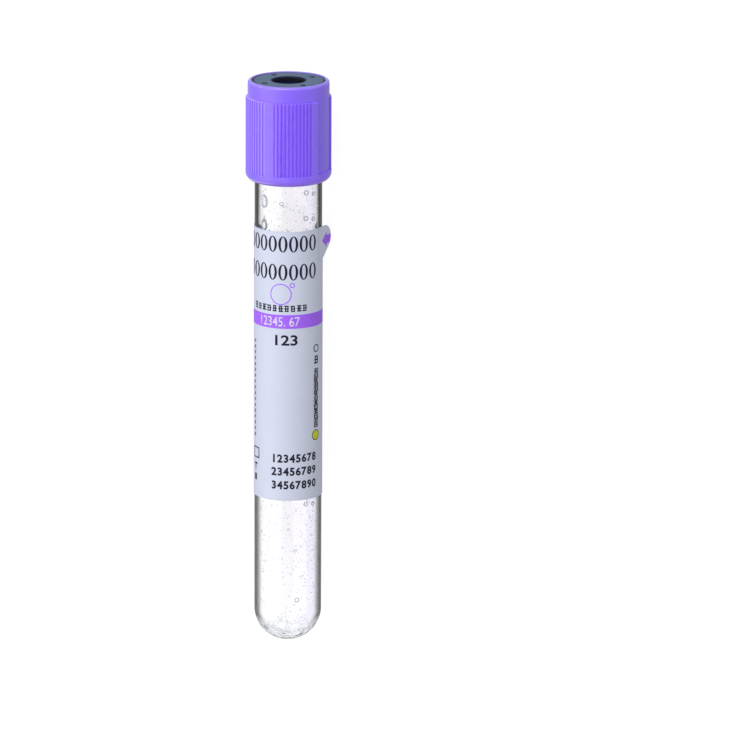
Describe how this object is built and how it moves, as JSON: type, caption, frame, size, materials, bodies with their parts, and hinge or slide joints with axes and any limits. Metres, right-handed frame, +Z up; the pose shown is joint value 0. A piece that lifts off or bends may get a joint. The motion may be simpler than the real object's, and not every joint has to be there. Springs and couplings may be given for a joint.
{
  "type": "blood collection tube",
  "caption": "Round-bottomed evacuated blood collection tube lying on its side, with a push-on safety closure, a rubber stopper and a wrapped label whose corner is peeling.",
  "frame": {"origin": "on the surface it lies on, under the middle of its bounding box", "axes": "+Y along the tube towards the closure, +Z up through the front of the label, +X towards the label's peeling corner; the tube's axis rises 1.16 degrees towards the closure"},
  "size_m": [0.0165, 0.1112, 0.0168],
  "materials": {
    "clear_plastic": "gloss",
    "grey_rubber": "matte",
    "violet_plastic": "satin",
    "label_paper": "satin",
    "clear_liquid": "gloss"
  },
  "bodies": {
    "vessel": {"tube": "clear_plastic", "label": "label_paper", "additive": "clear_liquid"},
    "closure": {"cap": "violet_plastic", "stopper": "grey_rubber"}
  },
  "joints": [
    {"name": "closure_pull", "type": "slide", "parent": "vessel", "child": "closure", "axis": [0, 0.9998, 0.0202], "range_m": [0, 0.03]}
  ]
}
